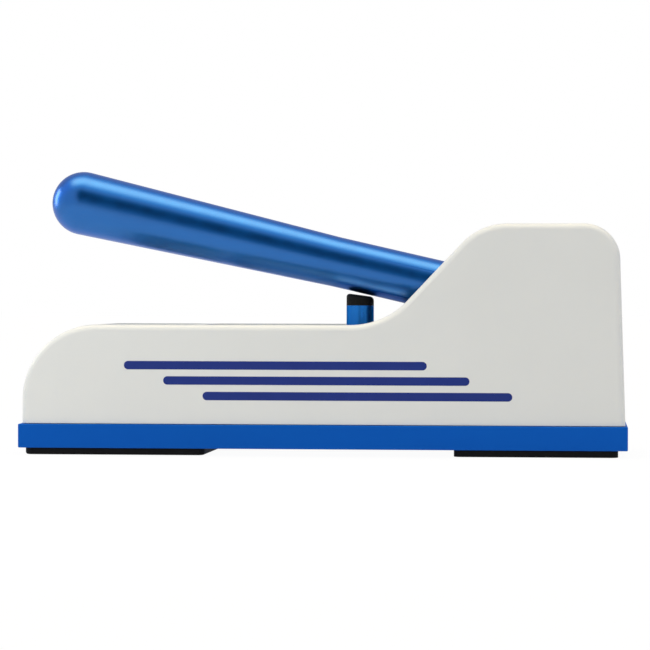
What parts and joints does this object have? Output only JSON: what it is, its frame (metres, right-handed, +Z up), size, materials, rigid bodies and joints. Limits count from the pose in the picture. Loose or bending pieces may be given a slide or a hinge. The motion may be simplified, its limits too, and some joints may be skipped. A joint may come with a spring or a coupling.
{
  "type": "tablet crusher",
  "caption": "Desk-top lever tablet crusher: long tapered blue handle, white ramped housing with pouch well and trough, guided ram over a steel anvil, blue base plate on rubber feet.",
  "frame": {"origin": "centre of the footprint, on the surface that the feet stand on", "axes": "+X along the base towards the hump at the back, +Z up, +Y to the right of someone who looks along -X from the hump towards the grip"},
  "size_m": [0.3048, 0.0888, 0.1438],
  "materials": {
    "base_blue": "blue anodised, fine satin",
    "handle_blue": "blue anodised, polished satin",
    "white_plastic": "warm white moulded plastic, semi-gloss",
    "black_rubber": "matt black rubber",
    "bracket_steel": "folded sheet steel, brushed",
    "stainless": "ground stainless steel",
    "aluminium": "machined aluminium",
    "bronze": "sintered bronze",
    "nylon": "natural nylon",
    "spring_steel": "bright spring steel",
    "zinc_screw": "bright zinc plate",
    "stripe_ink": "navy printed stripes on the housing's sides"
  },
  "bodies": {
    "root": {"base_plate": "base_blue", "front_foot_pad": "black_rubber", "rear_foot_pad": "black_rubber", "housing_shell": "white_plastic", "pivot_bracket": "bracket_steel", "pivot_pin": "stainless", "pivot_clip_left": "spring_steel", "pivot_clip_right": "spring_steel", "stop_rod": "stainless", "stop_clip_left": "spring_steel", "stop_clip_right": "spring_steel", "stop_sleeve": "black_rubber", "spring_seat": "nylon", "handle_spring": "spring_steel", "anvil_block": "aluminium", "anvil_plate": "stainless", "guide_pillar_left": "stainless", "guide_pillar_right": "stainless", "pillar_screw_left": "zinc_screw", "pillar_screw_right": "zinc_screw", "ram_spring_left": "spring_steel", "ram_spring_right": "spring_steel", "housing_screw_1": "zinc_screw", "housing_screw_2": "zinc_screw", "housing_screw_3": "zinc_screw", "housing_screw_4": "zinc_screw", "housing_screw_5": "zinc_screw", "housing_screw_6": "zinc_screw", "anvil_screw_1": "zinc_screw", "anvil_screw_2": "zinc_screw", "anvil_screw_3": "zinc_screw", "anvil_screw_4": "zinc_screw", "bracket_screw_1": "zinc_screw", "bracket_screw_2": "zinc_screw", "bracket_screw_3": "zinc_screw", "bracket_screw_4": "zinc_screw", "seat_screw": "zinc_screw"},
    "handle": {"handle_bar": "handle_blue", "pivot_bush_left": "nylon", "pivot_bush_right": "nylon", "spring_button": "nylon"},
    "ram": {"ram_plate": "aluminium", "ram_bush_left": "bronze", "ram_bush_right": "bronze", "crush_pad": "stainless", "ram_screw": "zinc_screw", "ram_post": "handle_blue", "ram_cap": "black_rubber"}
  },
  "joints": [
    {"name": "handle_hinge", "type": "hinge", "parent": "root", "child": "handle", "pos_m": [0.108, 0, 0.0736], "axis": [0, -1, 0], "range_deg": [0, 5.4], "stiffness_Nm_per_rad": 3, "springref_deg": -17.19, "deforming": ["handle_spring"]},
    {"name": "ram_slide", "type": "slide", "parent": "root", "child": "ram", "axis": [0, 0, -1], "range_m": [0, 0.0079], "stiffness_N_per_m": 1200, "springref_m": -0.004, "deforming": ["ram_spring_left", "ram_spring_right"]}
  ],
  "couplings": [
    {"joint": "ram_slide", "follows": "handle_hinge", "m_per_rad": 0.0838}
  ]
}
